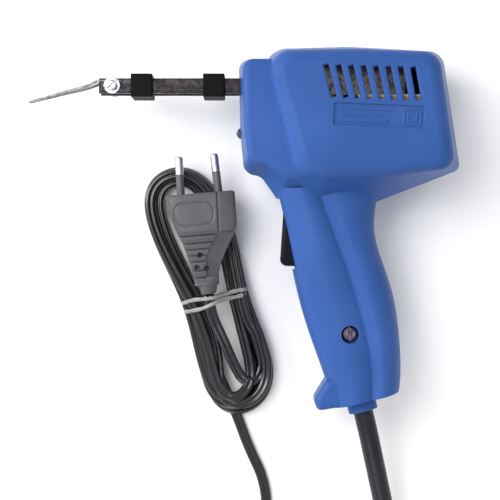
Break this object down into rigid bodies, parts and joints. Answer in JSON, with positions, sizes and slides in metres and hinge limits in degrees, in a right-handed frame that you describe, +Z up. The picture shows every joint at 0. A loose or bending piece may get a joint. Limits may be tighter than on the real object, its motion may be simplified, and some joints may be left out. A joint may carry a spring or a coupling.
{
  "type": "transformer soldering gun",
  "caption": "Pistol-shaped transformer soldering gun lying on its side, with sprung trigger, two arms, wire tip, and mains lead tied in a hank with a flat plug.",
  "frame": {"origin": "centre of the flat side panel that the gun lies on", "axes": "+X towards the gun's rear, +Y towards its top, +Z up from the surface it lies on"},
  "size_m": [0.207, 0.2947, 0.064],
  "materials": {
    "housing_blue": "satin moulded",
    "brass_metal": "satin",
    "steel": "zinc plated",
    "trigger_black": "gloss",
    "spring_steel": "bright",
    "black_plastic": "matte",
    "white_plastic": "matte",
    "core_steel": "varnished laminations",
    "plate_steel": "plated",
    "copper_wire": "enamelled copper",
    "tape_yellow": "tape",
    "copper_bar": "bare copper",
    "arm_plating": "dark mottled plating",
    "fibre_board": "pressed fibre",
    "clip_black": "matte moulded",
    "tip_metal": "tinned",
    "tip_screw_steel": "zinc plated",
    "lens_smoke": "smoked, clear",
    "bulb_glass": "clear",
    "lead_black": "matte",
    "lead_brown": "matte",
    "lead_blue": "matte",
    "cord_black": "satin sheath",
    "sleeve_rubber": "satin",
    "tie_grey": "paper strip",
    "plug_grey": "moulded",
    "pin_metal": "nickel plated"
  },
  "bodies": {
    "housing": {"right_housing": "housing_blue", "left_housing": "housing_blue", "screw_insert": "brass_metal", "grip_screw": "steel", "trigger_pin": "steel", "trigger_spring": "spring_steel", "switch_body": "black_plastic", "switch_terminals": "brass_metal", "transformer_core": "core_steel", "core_plates": "plate_steel", "core_bolts": "steel", "core_nuts": "steel", "bobbin": "white_plastic", "primary_winding": "copper_wire", "winding_tape": "tape_yellow", "secondary_turn": "copper_bar", "arm_rivets": "brass_metal", "near_arm": "arm_plating", "far_arm": "arm_plating", "arm_holder": "fibre_board", "front_clip": "clip_black", "rear_clip": "clip_black", "tip_wire": "tip_metal", "tip_screws": "tip_screw_steel", "tip_washers": "tip_screw_steel", "lamp_lens": "lens_smoke", "lamp_bulb": "bulb_glass", "lamp_holder": "black_plastic", "lamp_leads": "lead_black", "cord_inner": "cord_black", "bend_sleeve": "sleeve_rubber", "cord_clamp": "fibre_board", "clamp_screws": "steel", "lead_live": "lead_brown", "lead_switched": "lead_brown", "lead_neutral": "lead_blue", "cord_hank": "cord_black", "cord_tie": "tie_grey", "cord_end": "cord_black", "plug_body": "plug_grey", "plug_pins": "pin_metal", "pin_sleeves": "plug_grey", "cord_run": "cord_black"},
    "trigger": {"trigger": "trigger_black"},
    "plunger": {"switch_plunger": "white_plastic"}
  },
  "joints": [
    {"name": "trigger_swing", "type": "hinge", "parent": "housing", "child": "trigger", "pos_m": [-0.0345, -0.0475, 0.032], "axis": [0, 0, 1], "range_deg": [0, 9], "stiffness_Nm_per_rad": 0.12, "springref_deg": -6.88},
    {"name": "plunger_slide", "type": "slide", "parent": "housing", "child": "plunger", "axis": [1, 0, 0], "range_m": [0, 0.0028], "deforming": ["trigger_spring"]}
  ],
  "couplings": [
    {"joint": "plunger_slide", "follows": "trigger_swing", "m_per_rad": 0.0175}
  ]
}
